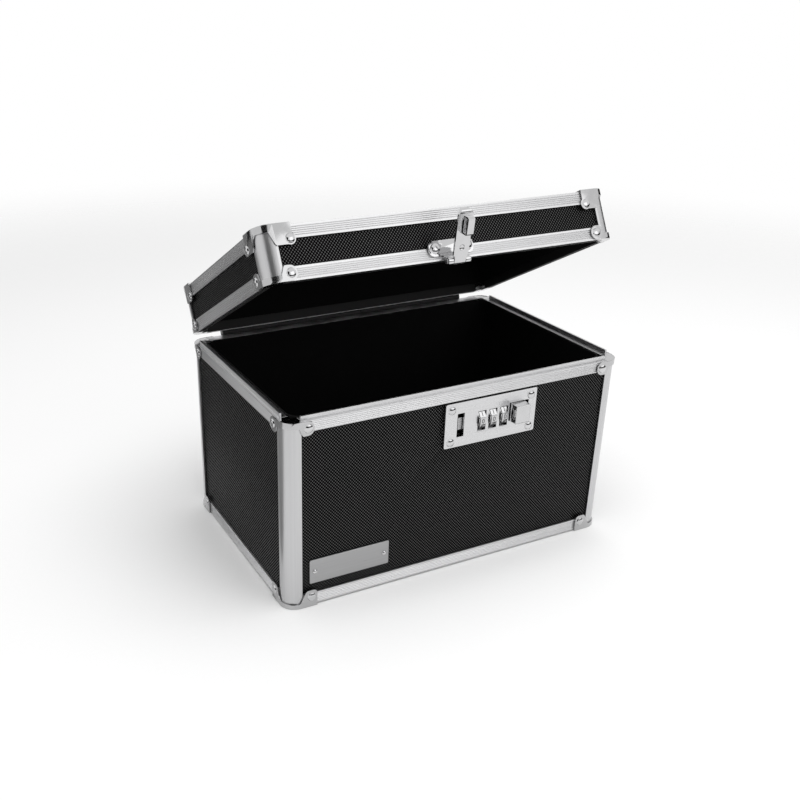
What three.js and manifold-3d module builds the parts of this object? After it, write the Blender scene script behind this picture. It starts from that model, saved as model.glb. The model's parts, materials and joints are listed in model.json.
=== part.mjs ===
// Lock box for medicines: panels held in aluminium edge trims, a hinged lid, a flip-down hasp and a
// three-dial combination lock. Millimetres, +Z up, front at -Y, underside at Z = 0.
// The lid stands open at its rest angle and the hasp is flipped up.

import * as THREE from 'three';
import { mergeVertices } from 'three/addons/utils/BufferGeometryUtils.js';
import Module from 'manifold-3d';

const wasm = await Module();
wasm.setup();

// Driving dimensions: the box
const caseWidth = 240;
const caseDepth = 154;
const caseHeight = 125.6;
const lidHeight = 32.4;
const lidOpenAngle = 28.3;
const seatGap = 0.2;
const closedGap = 1.4;

// Panels and linings
const panelGauge = 4;
const lidWallGauge = 3;
const liningGauge = 1.2;

// Edge trims: a ribbed outer face, a slot for the panel and an inner lip
const trimGauge = 1.2;
const edgeTrimFace = 8;
const caseRimFace = 7;
const lidRimFace = 8;
const trimGrooves = 5;
const trimGroovePitch = 1.15;
const trimGrooveWidth = 0.7;
const trimGrooveDepth = 0.3;
const innerLipHeight = 6;
const innerLipGauge = 1.2;
const lidInnerLip = 1;
const baseFlange = 9;

// The tongue on the case rim, and the channel in the lid rim that closes over it
const tongueHeight = 2.7;
const tongueGauge = 1.3;
const tongueClearance = 0.4;

// Corner posts
const postRadius = 9;
const postFlangeRun = 1.5;
const postInnerLip = 1.2;

// Corner brackets: heights from the bracket's own edge, reaches from the corner of the box
const bracketGauge = 0.8;
const bracketRivetRadius = 2.9;
const bracketRivetDome = 1.3;
const bracketFootLap = 1;
const bracketRiseSteps = 5;

// Rim brackets end round, about their rivets
const rimBracketBand = 3.8;
const rimBracketLobe = 8.9;
const rimBracketReach = 18.2;
const rimBracketRiseStart = 8.3;
const rimBracketRise = 3;
const rimBracketEndRadius = 4;
const rimRivetInset = 3.8;
const rimRivetHeight = 4.4;

// Base brackets end upright
const baseBracketBand = 3.2;
const baseBracketLobe = 11.7;
const baseBracketReach = 20.1;
const baseBracketRiseStart = 8;
const baseBracketRise = 5.5;
const baseBracketEndRadius = 2.5;
const baseRivetInset = 3.8;
const baseRivetHeight = 7;

// Top brackets end upright, with a bulge round the rivet
const topBracketBand = 4.2;
const topBracketLobe = 12.3;
const topBracketReach = 19.8;
const topBracketRiseStart = 5.3;
const topBracketRise = 4.2;
const topBracketEndRadius = 3.2;
const topRivetInset = 1.9;
const topRivetHeight = 9.1;
const topBulgeRadius = 3.6;

// Rear hinge
const hingeEndGap = 4.5;
const hingeKnuckles = 9;
const hingeBarrel = 3;
const hingePinRadius = 1.3;
const hingeLeafGauge = 1.2;
const knuckleGap = 0.3;

// Running fits
const pinClearance = 0.1;

// Lock plate on the case front
const lockDrop = 23.4;
const lockPlateLeft = 8.75;
const lockPlateLap = 4.5;
const lockPlateMargin = 5.2;
const lockPlateGauge = 1.6;
const lockPlateCorner = 1;
const lockRivetRadius = 2.75;
const lockRivetDome = 1.3;
const lockRivetInsetX = 4.4;
const lockRivetSpan = 21.4;

// Hasp slot in the plate, a little left of the middle of the box
const slotX = -2;
const slotEndClearance = 2.45;

// Number wheels
const dialCount = 3;
const dialRadius = 7.6;
const dialWidth = 5.4;
const dialGap = 2.8;
const slotToDial = 10.45;
const dialProud = 1.8;
const dialNotch = 0.45;
const dialDigits = 10;
const dialChamfer = 0.6;
const axleRadius = 1.5;
const windowSideClearance = 0.3;
const windowEndClearance = 0.35;

// Slide button and its well
const ribToButton = 0.3;
const buttonWidth = 10.5;
const buttonHeight = 12;
const buttonRaise = 1.8;
const buttonProud = 7;
const buttonBevel = 0.5;
const wellClearance = 0.6;
const buttonTravel = 3.2;
const buttonSeat = 1.2;

// Bolt behind the plate and the wheels
const boltGauge = 2;
const boltHeight = 8;
const boltRunClearance = 0.6;
const boltArmGap = 0.5;
const boltArmWidth = 2.6;
const boltFlangeGauge = 1.2;
const boltFlangeLap = 0.5;
const boltBlockWidth = 8;

// Bolt spring
const springRadius = 1.7;
const springWire = 0.5;
const springTurns = 7;
const springSteps = 8;
const springSides = 5;
const springLugWidth = 2;
const springLugGap = 2.85;
const springSeatWidth = 1.2;
const springSeatGap = 3.65;

// Lock housing
const housingWall = 1.2;
const housingLeft = 5;
const housingClearance = 0.4;
const ribWidth = 1.2;
const ribClearance = 0.4;

// Hasp on the lid
const armPlateGap = 1.4;
const haspAxisDrop = 1.5;
const haspBarrel = 2.2;
const haspPinRadius = 1;
const haspPinHead = 1.6;
const haspPinHeadLength = 0.7;
const haspKnuckle = 3.2;
const haspArmKnuckle = 7.8;
const haspPlateOffset = -0.5;
const haspPlateGauge = 1.2;
const haspPlateHalf = 15.5;
const haspPlateLow = 2.6;
const haspPlateHigh = 11.8;
const haspPlateCorner = 3.5;
const haspStudReach = 11;
const haspStudRadius = 3.4;
const haspStudDome = 2;
const haspRestAngle = 145;
const armOffset = 0.8;
const armWidth = 10;
const armGauge = 1.6;
const armTail = 0.3;
const armCorner = 4.6;
const armLipRadius = 2.6;
const armLipTurn = 100;
const armDimpleDrop = 8.5;
const armDimpleRadius = 1.8;
const armDimpleDepth = 0.8;

// Staple on the hasp, which the bolt goes through
const stapleWidth = 4.4;
const stapleClearance = 0.35;
const stapleWall = 1;
const stapleNose = 1.2;
const stapleHoleClearance = 0.4;

// Roundness of curved faces
const quarterSteps = 5;
const boreSteps = 16;
const rivetSteps = 12;

// Places worked out from the sizes above
const halfWidth = caseWidth / 2;
const halfDepth = caseDepth / 2;
const postFlange = postRadius + postFlangeRun;
const bracketFoot = baseFlange + bracketFootLap;
const hingeLength = caseWidth - 2 * (rimBracketReach + hingeEndGap);
const panelFace = trimGauge + seatGap;
const panelBack = panelFace + panelGauge;
const slotBack = panelBack + seatGap;
const rimLipBack = slotBack + innerLipGauge;
const postCore = slotBack + postInnerLip;
const postInside = slotBack + postInnerLip;
const bracketOut = bracketGauge + seatGap;
const baseTrimZ = bracketOut;
const caseStackZ = baseTrimZ + trimGauge + seatGap;
const rimTop = caseHeight;
const panelTop = rimTop - trimGauge - seatGap;
const postTop = rimTop - bracketOut;
const trimRun = postFlange + seatGap;
const lidSlotBack = panelFace + lidWallGauge + seatGap;
const lidLipBack = lidSlotBack + lidInnerLip;
const tongueFace = trimGauge + tongueClearance;
const tongueBack = tongueFace + tongueGauge;
const tongueTop = rimTop + tongueHeight;
const lidRimZ = rimTop + closedGap;
const lidWebLow = tongueTop + tongueClearance;
const lidWebTop = lidWebLow + trimGauge;
const lidTopZ = lidRimZ + lidHeight;
const lidTrimTop = lidTopZ - bracketOut;
const lidStackTop = lidTrimTop - trimGauge - seatGap;
const hingeY = halfDepth + seatGap + hingeBarrel;
const hingeZ = rimTop + closedGap / 2;
const plateBackY = -halfDepth + trimGauge;
const plateFrontY = plateBackY - lockPlateGauge;
const dialAxisY = plateFrontY - dialProud + dialRadius;
const boltTipY = plateBackY + boltRunClearance;
const boltBarY = dialAxisY + dialRadius + boltRunClearance;
const boltBarBack = boltBarY + boltGauge;
const housingInnerBack = boltBarBack + seatGap;
const haspAxisY = plateFrontY - armPlateGap - haspBarrel;
const haspAxisZ = lidRimZ - haspAxisDrop;
const haspArmX = slotX + armOffset;
const haspPlateX = slotX + haspPlateOffset;
const lockCentreZ = rimTop - lockDrop;
const stapleHoleHeight = boltHeight + 2 * stapleHoleClearance;
const stapleHeight = stapleHoleHeight + 2 * stapleWall;
const slotWidth = stapleWidth + 2 * stapleClearance;
const slotHeight = stapleHeight + 2 * slotEndClearance;
const armStraight = haspAxisZ - lockCentreZ + stapleHeight / 2 + armTail;

// Materials
function finish(color, roughness, metalness) {
  return new THREE.MeshStandardMaterial({ color, roughness, metalness, flatShading: true });
}
const trimMetal = () => finish(0xc9cbcd, 0.35, 0.9);
const postMetal = () => finish(0xd2d4d6, 0.28, 0.9);
const chrome = () => finish(0xe2e4e6, 0.12, 1);
const satinPlate = () => finish(0xd0d2d3, 0.4, 0.9);
const panelBlack = () => finish(0x17181a, 0.6, 0);
const liningBlack = () => finish(0x0b0b0c, 0.95, 0);
const castMetal = () => finish(0x8f9296, 0.5, 0.8);
const steel = () => finish(0xa9adb1, 0.3, 0.9);
const dialSilver = () => finish(0xb9bbbd, 0.3, 0.9);

// Shapes: every piece is made of closed solids that are joined and cut
function solid(geometry) {
  const bare = geometry.clone();
  bare.deleteAttribute('normal');
  bare.deleteAttribute('uv');
  const merged = mergeVertices(bare, 1e-4);
  return new wasm.Manifold(new wasm.Mesh({
    numProp: 3,
    vertProperties: new Float32Array(merged.attributes.position.array),
    triVerts: new Uint32Array(merged.index.array),
  }));
}

function geometryOf(body) {
  const mesh = body.getMesh();
  const geometry = new THREE.BufferGeometry();
  geometry.setAttribute('position', new THREE.BufferAttribute(mesh.vertProperties, 3));
  geometry.setIndex(new THREE.BufferAttribute(mesh.triVerts, 1));
  return geometry;
}

function join(...bodies) {
  return bodies.reduce((sum, body) => sum.add(body));
}

function cut(body, ...tools) {
  return tools.reduce((rest, tool) => rest.subtract(tool), body);
}

function outlineOf(points) {
  return points.map(([a, b]) => new THREE.Vector2(a, b));
}

// A flat outline pushed along an axis: outlines are (y, z) for x, (x, z) for y and (x, y) for z
function prism(axis, points, from, to, holes = []) {
  const shape = new THREE.Shape(outlineOf(points));
  const geometry = new THREE.ExtrudeGeometry(shape, { depth: to - from, bevelEnabled: false });
  const x = new THREE.Vector3(1, 0, 0);
  const y = new THREE.Vector3(0, 1, 0);
  const z = new THREE.Vector3(0, 0, 1);
  if (axis === 'x') {
    geometry.applyMatrix4(new THREE.Matrix4().makeBasis(y, z, x).setPosition(from, 0, 0));
  } else if (axis === 'y') {
    geometry.applyMatrix4(new THREE.Matrix4().makeBasis(x, z, y.negate()).setPosition(0, to, 0));
  } else {
    geometry.translate(0, 0, from);
  }
  return cut(solid(geometry), ...holes.map((hole) => prism(axis, hole, from - 1, to + 1)));
}

function box(x0, x1, y0, y1, z0, z1) {
  const geometry = new THREE.BoxGeometry(x1 - x0, y1 - y0, z1 - z0);
  geometry.translate((x0 + x1) / 2, (y0 + y1) / 2, (z0 + z1) / 2);
  return solid(geometry);
}

// A rod along x through (y, z)
function rod(radius, x0, x1, y, z, steps = boreSteps) {
  const geometry = new THREE.CylinderGeometry(radius, radius, x1 - x0, steps);
  geometry.rotateZ(-Math.PI / 2);
  geometry.translate((x0 + x1) / 2, y, z);
  return solid(geometry);
}

// A domed rivet head on a face, standing out along the given direction
function rivetHead(radius, dome, place, out) {
  const profile = [
    [0, 0],
    [radius, 0],
    [radius * 0.87, dome * 0.55],
    [radius * 0.5, dome * 0.9],
    [0, dome],
  ];
  const geometry = new THREE.LatheGeometry(outlineOf(profile), rivetSteps);
  const up = new THREE.Vector3(0, 1, 0);
  const turn = new THREE.Quaternion().setFromUnitVectors(up, new THREE.Vector3(...out));
  geometry.applyQuaternion(turn);
  geometry.translate(...place);
  return solid(geometry);
}

// Points on an arc, angles in degrees
function arc(x, y, radius, start, end, steps = quarterSteps) {
  const points = [];
  for (let i = 0; i <= steps; i += 1) {
    const angle = THREE.MathUtils.degToRad(start + (end - start) * i / steps);
    points.push([x + radius * Math.cos(angle), y + radius * Math.sin(angle)]);
  }
  return points;
}

function circle(x, y, radius, sides) {
  return arc(x, y, radius, 0, 360 - 360 / sides, sides - 1);
}

function rectangle(x0, x1, y0, y1) {
  return [[x0, y0], [x1, y0], [x1, y1], [x0, y1]];
}

function roundedRectangle(x0, x1, y0, y1, radius, steps = quarterSteps) {
  return [
    ...arc(x1 - radius, y0 + radius, radius, -90, 0, steps),
    ...arc(x1 - radius, y1 - radius, radius, 0, 90, steps),
    ...arc(x0 + radius, y1 - radius, radius, 90, 180, steps),
    ...arc(x0 + radius, y0 + radius, radius, 180, 270, steps),
  ];
}

// The box outline drawn in by an inset, with concentric corners
function ringOutline(inset, radius) {
  const x = halfWidth - inset;
  const y = halfDepth - inset;
  return roundedRectangle(-x, x, -y, y, radius);
}

function reversed(index) {
  const flipped = new index.constructor(index.length);
  for (let i = 0; i < index.length; i += 3) {
    flipped[i] = index[i];
    flipped[i + 1] = index[i + 2];
    flipped[i + 2] = index[i + 1];
  }
  return flipped;
}

// A copy mirrored in x, y or both, with its faces still pointing out
function mirrored(geometry, signX, signY) {
  const copy = geometry.clone();
  copy.scale(signX, signY, 1);
  if (signX * signY < 0) {
    copy.setIndex(new THREE.BufferAttribute(reversed(geometry.index.array), 1));
  }
  return copy;
}

// Pieces are named meshes in the case, lid or hasp group
function addPiece(group, name, geometry, material) {
  const mesh = new THREE.Mesh(geometry, material);
  mesh.name = name;
  group.add(mesh);
  return mesh;
}

const corners = [
  ['front_left', 1, 1],
  ['front_right', -1, 1],
  ['rear_left', 1, -1],
  ['rear_right', -1, -1],
];

// A piece drawn with the corner of the box at (0, 0) and the box towards +x and +y, at all four corners
function addAtCorners(group, prefix, body, material) {
  const geometry = geometryOf(body);
  geometry.translate(-halfWidth, -halfDepth, 0);
  for (const [name, signX, signY] of corners) {
    addPiece(group, `${prefix}_${name}`, mirrored(geometry, signX, signY), material());
  }
}

// Trim outlines are (depth in from the outer face, height), and run along each side between the posts
function trimAlongX(profile) {
  const along = halfWidth - trimRun;
  return prism('x', profile.map(([n, z]) => [n - halfDepth, z]), -along, along);
}

function trimAlongY(profile) {
  const across = halfDepth - trimRun;
  return prism('y', profile.map(([n, z]) => [n - halfWidth, z]), -across, across);
}

function addAlongSides(group, prefix, profile, rearProfile, material) {
  const left = geometryOf(trimAlongY(profile));
  addPiece(group, `${prefix}_front`, geometryOf(trimAlongX(profile)), material());
  addPiece(group, `${prefix}_rear`, mirrored(geometryOf(trimAlongX(rearProfile)), 1, -1), material());
  addPiece(group, `${prefix}_left`, left, material());
  addPiece(group, `${prefix}_right`, mirrored(left, -1, 1), material());
}

// The ribbed outer face of a trim, from height z0 to z1, with its grooves about the middle
function ribbedFace(z0, z1) {
  const points = [[0, z0]];
  const first = (z0 + z1) / 2 - trimGroovePitch * (trimGrooves - 1) / 2;
  for (let i = 0; i < trimGrooves; i += 1) {
    const middle = first + trimGroovePitch * i;
    points.push([0, middle - trimGrooveWidth / 2]);
    points.push([trimGrooveDepth, middle]);
    points.push([0, middle + trimGrooveWidth / 2]);
  }
  points.push([0, z1]);
  return points;
}

// Case panels
function sidePanel(inset, low, high) {
  return box(inset - halfWidth, halfWidth - inset, panelFace - halfDepth, panelBack - halfDepth, low, high);
}

function lockCutOut(y0, y1) {
  const left = slotX - housingLeft - housingWall - seatGap;
  const low = housingLow - housingWall - seatGap;
  const high = housingHigh + housingWall + seatGap;
  return box(left, housingRight + housingWall + seatGap, y0, y1, low, high);
}

function addCasePanels(group) {
  const inset = postCore + seatGap;
  const front = sidePanel(inset, caseStackZ, panelTop);
  addPiece(group, 'front_panel', geometryOf(cut(front, lockCutOut(-halfDepth, 0))), panelBlack());
  addPiece(group, 'rear_panel', mirrored(geometryOf(front), 1, -1), panelBlack());
  const left = geometryOf(box(
    panelFace - halfWidth, panelBack - halfWidth,
    inset - halfDepth, halfDepth - inset,
    caseStackZ, panelTop,
  ));
  addPiece(group, 'left_panel', left, panelBlack());
  addPiece(group, 'right_panel', mirrored(left, -1, 1), panelBlack());
  addPiece(group, 'bottom_panel', geometryOf(bottomPanel()), panelBlack());
}

// The bottom panel lies inside the side panels and is notched round the corner posts
function bottomPanel() {
  const edge = panelBack + seatGap;
  const notchIn = postInside + seatGap;
  const notchEnd = postFlange + seatGap;
  const corner = [
    [notchEnd, edge],
    [notchEnd, notchIn],
    [notchIn, notchIn],
    [notchIn, notchEnd],
    [edge, notchEnd],
  ];
  const outline = [
    ...corner.map(([x, y]) => [x - halfWidth, y - halfDepth]),
    ...[...corner].reverse().map(([x, y]) => [x - halfWidth, halfDepth - y]),
    ...corner.map(([x, y]) => [halfWidth - x, halfDepth - y]),
    ...[...corner].reverse().map(([x, y]) => [halfWidth - x, y - halfDepth]),
  ];
  return prism('z', outline, caseStackZ, caseStackZ + panelGauge);
}

// Case rim trims: the tongue stands on the front and the sides, and the hinge takes its place at the rear
function caseRimProfile(hasTongue) {
  const tongue = [
    [tongueFace, rimTop],
    [tongueFace, tongueTop],
    [tongueBack, tongueTop],
    [tongueBack, rimTop],
  ];
  return [
    ...ribbedFace(rimTop - caseRimFace, rimTop),
    ...(hasTongue ? tongue : []),
    [rimLipBack, rimTop],
    [rimLipBack, rimTop - innerLipHeight],
    [slotBack, rimTop - innerLipHeight],
    [slotBack, rimTop - trimGauge],
    [trimGauge, rimTop - trimGauge],
    [trimGauge, rimTop - caseRimFace],
  ];
}

// A closed frame of the box's outline with four ribbed upstands between the posts
function edgeFrame(flangeLow, flangeHigh, faceLow, faceHigh) {
  const flange = prism('z', ringOutline(0, postRadius), flangeLow, flangeHigh, [
    rectangle(baseFlange - halfWidth, halfWidth - baseFlange, baseFlange - halfDepth, halfDepth - baseFlange),
  ]);
  const profile = [...ribbedFace(faceLow, faceHigh), [trimGauge, faceHigh], [trimGauge, faceLow]];
  const front = trimAlongX(profile);
  const left = trimAlongY(profile);
  const rear = solid(mirrored(geometryOf(front), 1, -1));
  const right = solid(mirrored(geometryOf(left), -1, 1));
  return join(flange, front, rear, left, right);
}

// The corner post: a quarter-round face, a solid core and two slots for the panels
function cornerPost() {
  const outline = [
    [postFlange, 0],
    [postFlange, trimGauge],
    [postCore, trimGauge],
    [postCore, slotBack],
    [postFlange, slotBack],
    [postFlange, postInside],
    [postInside, postInside],
    [postInside, postFlange],
    [slotBack, postFlange],
    [slotBack, postCore],
    [trimGauge, postCore],
    [trimGauge, postFlange],
    [0, postFlange],
    ...arc(postRadius, postRadius, postRadius, 180, 270, quarterSteps + 2),
  ];
  return prism('z', outline, caseStackZ, postTop);
}

// Corner brackets: a shell round the corner whose two legs end in riveted lobes
const rimBracket = {
  band: rimBracketBand,
  lobe: rimBracketLobe,
  reach: rimBracketReach,
  riseStart: rimBracketRiseStart,
  rise: rimBracketRise,
  endRadius: rimBracketEndRadius,
  rivetReach: rimBracketReach - rimRivetInset,
  rivetHeight: rimRivetHeight,
};
const baseBracket = {
  band: baseBracketBand,
  lobe: baseBracketLobe,
  reach: baseBracketReach,
  riseStart: baseBracketRiseStart,
  rise: baseBracketRise,
  endRadius: baseBracketEndRadius,
  rivetReach: baseBracketReach - baseRivetInset,
  rivetHeight: baseRivetHeight,
};
const topBracket = {
  band: topBracketBand,
  lobe: topBracketLobe,
  reach: topBracketReach,
  riseStart: topBracketRiseStart,
  rise: topBracketRise,
  endRadius: topBracketEndRadius,
  rivetReach: topBracketReach - topRivetInset,
  rivetHeight: topRivetHeight,
};

function shellOutline(out, reach) {
  return [
    [reach, -out],
    [reach, -seatGap],
    ...arc(postRadius, postRadius, postRadius + seatGap, 270, 180),
    [-seatGap, reach],
    [-out, reach],
    ...arc(postRadius, postRadius, postRadius + out, 180, 270),
  ];
}

// The height of a leg: low at the post, rising in a soft S to the lobe, with its far end given
function legOutline(shape, farEnd) {
  const rise = [];
  for (let i = 0; i <= bracketRiseSteps; i += 1) {
    const t = i / bracketRiseSteps;
    const height = shape.band + (shape.lobe - shape.band) * (3 - 2 * t) * t * t;
    rise.push([shape.riseStart + shape.rise * t, height]);
  }
  const margin = bracketOut + 1;
  return [[-margin, 0], ...farEnd, ...rise.reverse(), [-margin, shape.band]];
}

// An end that is round above, and round or square at the bracket's edge
function upperEnd({ reach, lobe, endRadius }) {
  return arc(reach - endRadius, lobe - endRadius, endRadius, 0, 90, 4);
}

function roundEnd(shape) {
  const { reach, endRadius } = shape;
  return [...arc(reach - endRadius, endRadius, endRadius, -90, 0, 4), ...upperEnd(shape)];
}

function uprightEnd(shape) {
  return [[shape.reach, 0], ...upperEnd(shape)];
}

// The wall of a bracket from its edge at height zero up to its lobes, with a bulge if it has one
function bracketWall(shape, farEnd, bulgeRadius = 0) {
  const margin = bracketOut + 1;
  const outline = legOutline(shape, farEnd);
  const legs = [prism('y', outline, -margin, postRadius), prism('x', outline, -margin, postRadius)];
  if (bulgeRadius > 0) {
    const bulge = circle(shape.rivetReach, shape.rivetHeight, bulgeRadius, rivetSteps);
    legs.push(prism('y', bulge, -margin, postRadius), prism('x', bulge, -margin, postRadius));
  }
  const shell = prism('z', shellOutline(bracketOut, shape.reach + bulgeRadius), 0, shape.lobe + bulgeRadius);
  const wall = shell.intersect(join(...legs));
  const frontRivet = [shape.rivetReach, -bracketOut, shape.rivetHeight];
  const sideRivet = [-bracketOut, shape.rivetReach, shape.rivetHeight];
  return join(
    wall,
    rivetHead(bracketRivetRadius, bracketRivetDome, frontRivet, [0, -1, 0]),
    rivetHead(bracketRivetRadius, bracketRivetDome, sideRivet, [-1, 0, 0]),
  );
}

// The web of a rim bracket, which caps the post and is open towards the inside of the box
function rimWeb(inner) {
  const outline = [
    [postFlange, -bracketOut],
    [postFlange, inner],
    [inner, inner],
    [inner, postFlange],
    [-bracketOut, postFlange],
    ...arc(postRadius, postRadius, postRadius + bracketOut, 180, 270),
  ];
  return prism('z', outline, 0, bracketGauge);
}

// The web of a base or top bracket, a flat foot with two toes
function footWeb({ reach }) {
  const outline = [
    [reach, -bracketOut],
    [reach, bracketFoot],
    [bracketFoot, bracketFoot],
    [bracketFoot, reach],
    [-bracketOut, reach],
    ...arc(postRadius, postRadius, postRadius + bracketOut, 180, 270),
  ];
  return prism('z', outline, 0, bracketGauge);
}

// The same bracket upside down, with its web at height z
function turnedOver(body, z) {
  const geometry = geometryOf(body);
  geometry.scale(1, 1, -1);
  geometry.setIndex(new THREE.BufferAttribute(reversed(geometry.index.array), 1));
  geometry.translate(0, 0, z);
  return solid(geometry);
}

function moved(body, x, z) {
  const geometry = geometryOf(body);
  geometry.translate(x, 0, z);
  return solid(geometry);
}

function caseRimBracket() {
  return turnedOver(join(bracketWall(rimBracket, roundEnd(rimBracket)), rimWeb(rimLipBack)), rimTop);
}

function lidRimBracket() {
  return moved(join(bracketWall(rimBracket, roundEnd(rimBracket)), rimWeb(lidLipBack)), 0, lidRimZ);
}

function caseBaseBracket() {
  return join(bracketWall(baseBracket, uprightEnd(baseBracket)), footWeb(baseBracket));
}

function lidTopBracket() {
  const wall = bracketWall(topBracket, uprightEnd(topBracket), topBulgeRadius);
  return turnedOver(join(wall, footWeb(topBracket)), lidTopZ);
}

// Linings: open trays with rounded corners
function tray(outerInset, cornerRadius, wallGauge, openZ, backZ) {
  const low = Math.min(openZ, backZ);
  const high = Math.max(openZ, backZ);
  const floorLow = backZ < openZ ? backZ : backZ - liningGauge;
  const wall = prism('z', ringOutline(outerInset, cornerRadius), low, high);
  const innerInset = outerInset + wallGauge;
  const innerRadius = Math.max(cornerRadius - wallGauge, liningGauge);
  const hollowLow = backZ < openZ ? floorLow + liningGauge : low - 1;
  const hollowHigh = backZ < openZ ? high + 1 : floorLow;
  return cut(wall, prism('z', ringOutline(innerInset, innerRadius), hollowLow, hollowHigh));
}

// The smallest corner radius that clears the inner lip of the post
function liningCorner(inset) {
  const a = postFlange + seatGap - inset;
  const b = postInside + seatGap - inset;
  return a + b + Math.sqrt(2 * a * b);
}

// The case lining reaches up inside the rim, and is rebated for the inner lip
function caseLining() {
  const radius = liningCorner(slotBack);
  const step = innerLipGauge + seatGap;
  const backZ = caseStackZ + panelGauge + seatGap;
  const body = tray(slotBack, radius, step + liningGauge, rimTop - seatGap, backZ);
  const rebateLow = rimTop - innerLipHeight - seatGap;
  const kept = ringOutline(slotBack + step, radius - step);
  const rebate = prism('z', ringOutline(panelBack, radius + seatGap), rebateLow, rimTop, [kept]);
  return cut(body, rebate, lockCutOut(-halfDepth, 0));
}

// Rear hinge: leaves with alternate knuckles on one pin
function knuckleSpans(first) {
  const spans = [];
  const pitch = hingeLength / hingeKnuckles;
  for (let i = first; i < hingeKnuckles; i += 2) {
    const start = -hingeLength / 2 + pitch * i;
    spans.push([start + knuckleGap / 2, start + pitch - knuckleGap / 2]);
  }
  return spans;
}

function hingeLeaf(first, side, face) {
  const y0 = halfDepth + seatGap;
  const y1 = y0 + hingeLeafGauge;
  const near = hingeZ + side * (hingeBarrel + knuckleGap);
  const far = hingeZ + side * (closedGap / 2 + face);
  const half = hingeLength / 2;
  const parts = [box(-half, half, y0, y1, Math.min(near, far), Math.max(near, far))];
  for (const [x0, x1] of knuckleSpans(first)) {
    parts.push(box(x0, x1, y0, y1, Math.min(hingeZ, near), Math.max(hingeZ, near)));
    parts.push(rod(hingeBarrel, x0, x1, hingeY, hingeZ));
  }
  const bore = rod(hingePinRadius + pinClearance, -half - 1, half + 1, hingeY, hingeZ, rivetSteps);
  return cut(join(...parts), bore);
}

// Lock plate with its slot, windows, well and rivets
const firstDialX = slotX + slotWidth / 2 + slotToDial + dialWidth / 2;
const dialXs = Array.from({ length: dialCount }, (_, i) => firstDialX + (dialWidth + dialGap) * i);
const windowHalf = Math.sqrt(dialRadius ** 2 - (dialAxisY - plateBackY) ** 2) + windowEndClearance;
const firstRibX = dialXs[0] - dialWidth / 2 - ribClearance - ribWidth;
const lastRibX = dialXs[dialCount - 1] + dialWidth / 2 + ribClearance;
const buttonLeft = lastRibX + ribWidth + ribToButton;
const buttonRight = buttonLeft + buttonWidth;
const buttonX = (buttonLeft + buttonRight) / 2;
const buttonZ = lockCentreZ + buttonRaise;
const buttonLow = buttonZ - buttonHeight / 2;
const buttonHigh = buttonZ + buttonHeight / 2;
const flangeLap = seatGap + boltFlangeLap;
const housingRight = buttonRight + buttonTravel + housingClearance;
const housingLow = Math.min(lockCentreZ - dialRadius, buttonLow - flangeLap) - housingClearance;
const housingHigh = Math.max(lockCentreZ + dialRadius, buttonHigh + flangeLap) + housingClearance;

function lockPlate() {
  const left = slotX - slotWidth / 2 - lockPlateLeft;
  const right = housingRight + housingWall + lockPlateLap;
  const low = housingLow - housingWall - lockPlateMargin;
  const high = housingHigh + housingWall + lockPlateMargin;
  const windows = dialXs.map((x) => {
    const half = dialWidth / 2 + windowSideClearance;
    return rectangle(x - half, x + half, lockCentreZ - windowHalf, lockCentreZ + windowHalf);
  });
  const slot = rectangle(
    slotX - slotWidth / 2, slotX + slotWidth / 2,
    lockCentreZ - slotHeight / 2, lockCentreZ + slotHeight / 2,
  );
  const well = rectangle(
    buttonLeft - wellClearance, buttonRight + buttonTravel + seatGap,
    buttonLow - seatGap, buttonHigh + seatGap,
  );
  const outline = roundedRectangle(left, right, low, high, lockPlateCorner, 2);
  const plate = prism('y', outline, plateFrontY, plateBackY, [slot, well, ...windows]);
  const rivets = [left + lockRivetInsetX, right - lockRivetInsetX].flatMap((x) => (
    [-1, 1].map((side) => {
      const place = [x, plateFrontY, lockCentreZ + side * lockRivetSpan / 2];
      return rivetHead(lockRivetRadius, lockRivetDome, place, [0, -1, 0]);
    })
  ));
  return join(plate, ...rivets);
}

// Number wheel: ten flats with a groove between each two, bored for the axle
function dialOutline(scale) {
  const points = [];
  const step = 360 / dialDigits;
  const notchAngle = step * 0.12;
  for (let i = 0; i < dialDigits; i += 1) {
    const angle = THREE.MathUtils.degToRad(step * (i + 0.5));
    const side = THREE.MathUtils.degToRad(notchAngle);
    const reach = dialRadius * scale;
    const low = (dialRadius - dialNotch) * scale;
    points.push([reach * Math.cos(angle - side), reach * Math.sin(angle - side)]);
    points.push([low * Math.cos(angle), low * Math.sin(angle)]);
    points.push([reach * Math.cos(angle + side), reach * Math.sin(angle + side)]);
  }
  return points;
}

function dial(x) {
  const half = dialWidth / 2;
  const wheel = prism('x', dialOutline(1), x - half + dialChamfer, x + half - dialChamfer);
  const cheeks = prism('x', dialOutline(1 - dialChamfer / dialRadius), x - half, x + half);
  const bore = rod(axleRadius + pinClearance, x - half - 1, x + half + 1, 0, 0);
  return cut(join(wheel, cheeks), bore);
}

// Lock housing: an open-fronted box with ribs for the axle and a seat for the spring
function lockHousing() {
  const left = slotX - housingLeft;
  const front = plateBackY + seatGap;
  const back = housingInnerBack + housingWall;
  const shell = cut(
    box(left - housingWall, housingRight + housingWall, front, back,
      housingLow - housingWall, housingHigh + housingWall),
    box(left, housingRight, front - 1, housingInnerBack, housingLow, housingHigh),
  );
  const ribBack = boltBarY - seatGap;
  const overlap = housingWall / 2;
  const ribs = [firstRibX, lastRibX].map((x) => (
    box(x, x + ribWidth, front, ribBack, housingLow - overlap, housingHigh + overlap)
  ));
  const seat = box(
    springSeatX, springSeatX + springSeatWidth,
    springY - springRadius, housingInnerBack + overlap,
    housingLow - overlap, springZ + springRadius,
  );
  const bore = rod(axleRadius + seatGap, firstRibX - 1, lastRibX + ribWidth + 1, dialAxisY, lockCentreZ);
  return cut(join(shell, ...ribs, seat), bore);
}

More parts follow.
